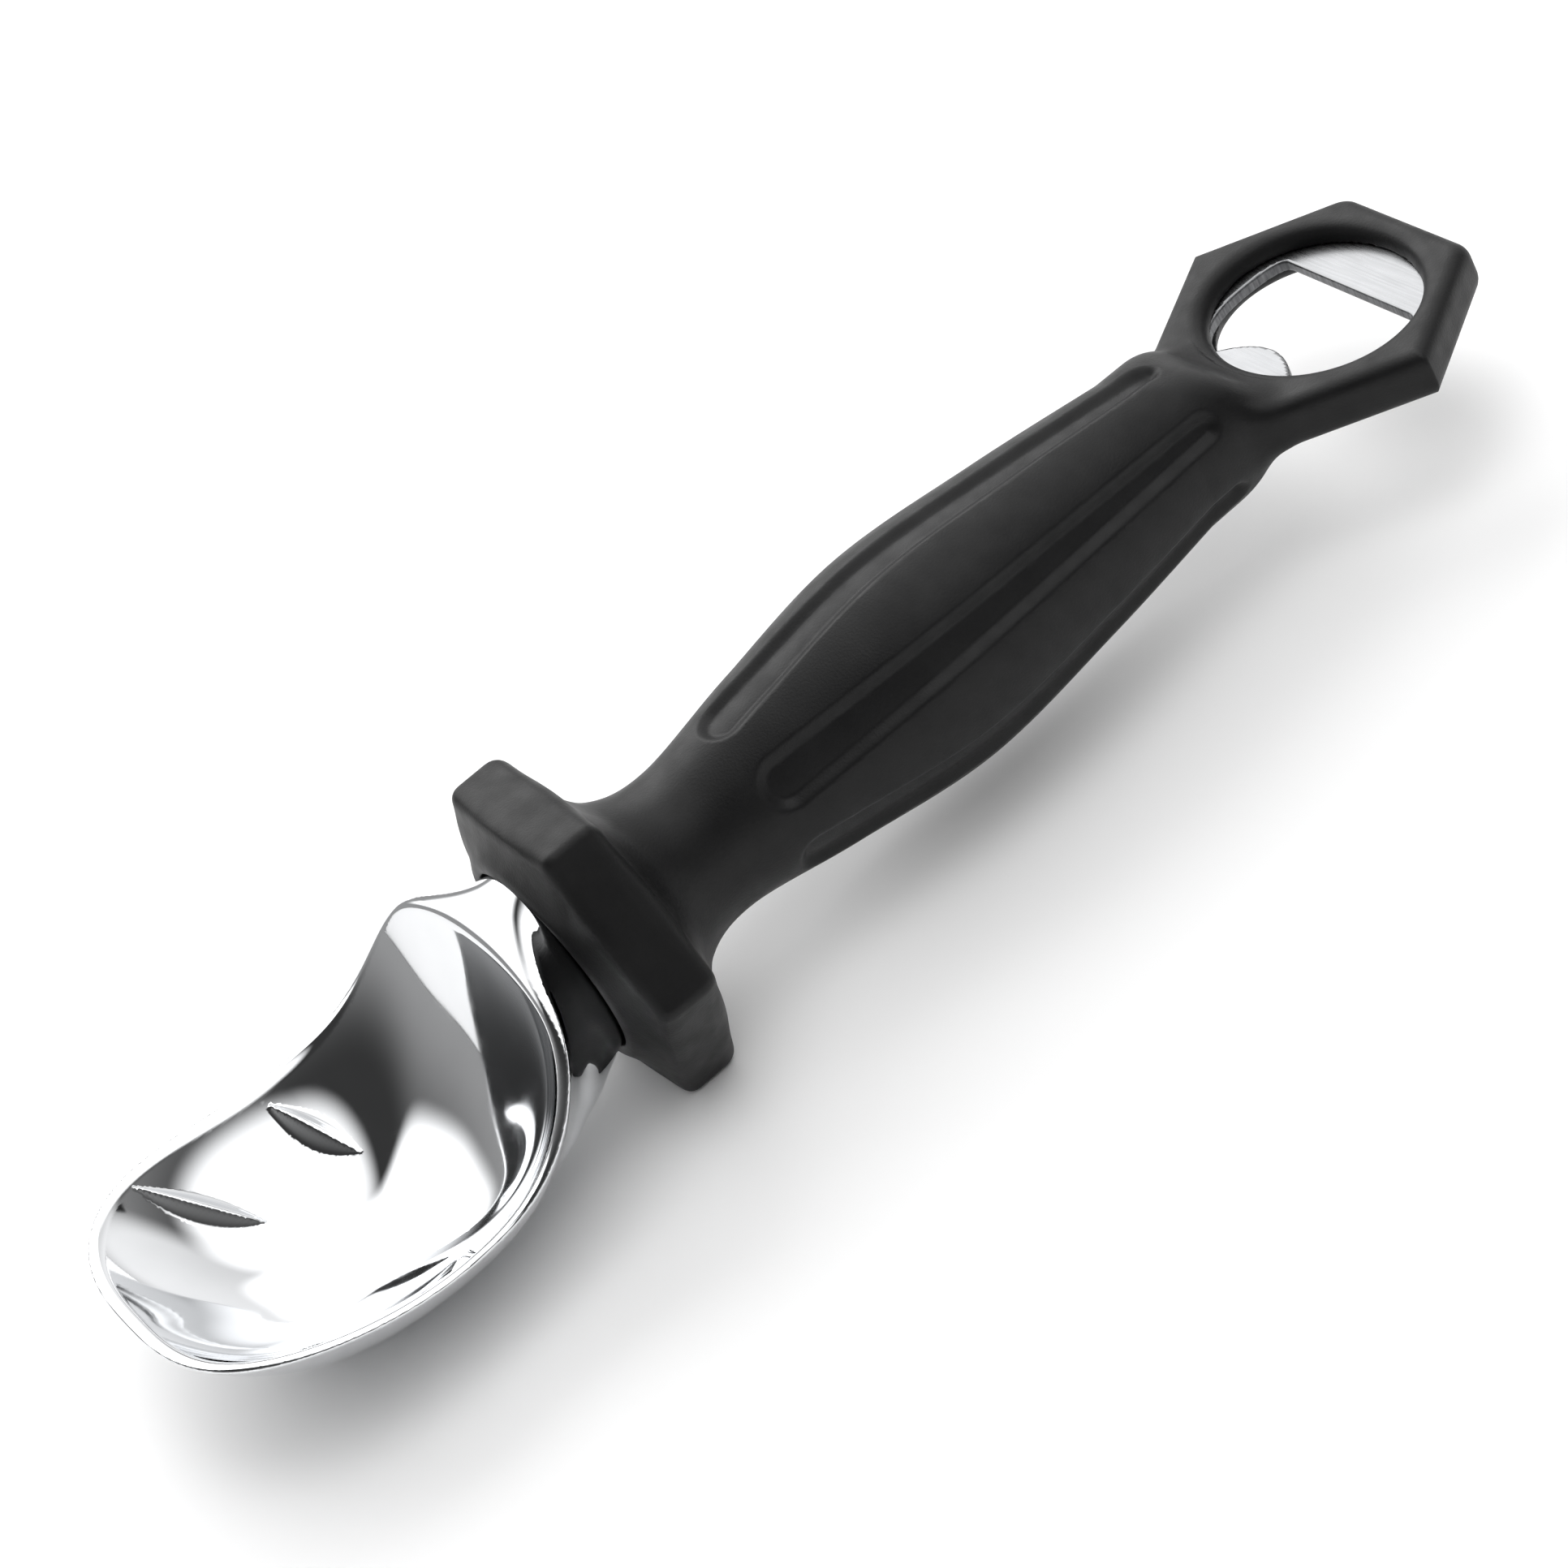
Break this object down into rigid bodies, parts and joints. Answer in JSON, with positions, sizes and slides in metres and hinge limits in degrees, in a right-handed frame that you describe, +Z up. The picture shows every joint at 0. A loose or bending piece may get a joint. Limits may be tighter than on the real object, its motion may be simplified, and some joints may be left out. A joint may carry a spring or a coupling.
{
  "type": "ice cream scoop",
  "caption": "Rigid ice cream scoop with a round chrome bowl, a fluted soft black grip with a six-sided guard, and a six-sided end loop that holds a steel bottle opener plate.",
  "frame": {"origin": "under the middle of the scoop's length, at the height of the guard's lowest flat", "axes": "+Z up out of the bowl, +Y along the handle from the bowl's tip to the opener loop, +X across the bowl"},
  "size_m": [0.0546, 0.209, 0.0405],
  "materials": {
    "chrome_head": "mirror chrome plating on a casting",
    "inner_steel": "plain steel",
    "core_plastic": "moulded",
    "opener_steel": "polished stamped steel",
    "soft_grip": "soft-touch, fine matte texture"
  },
  "bodies": {
    "root": {"scoop_head": "chrome_head", "tang": "inner_steel", "core_upper": "core_plastic", "core_lower": "core_plastic", "tang_pin_front": "inner_steel", "tang_pin_rear": "inner_steel", "opener_pin": "inner_steel", "opener_plate": "opener_steel", "grip_skin": "soft_grip"}
  },
  "joints": []
}
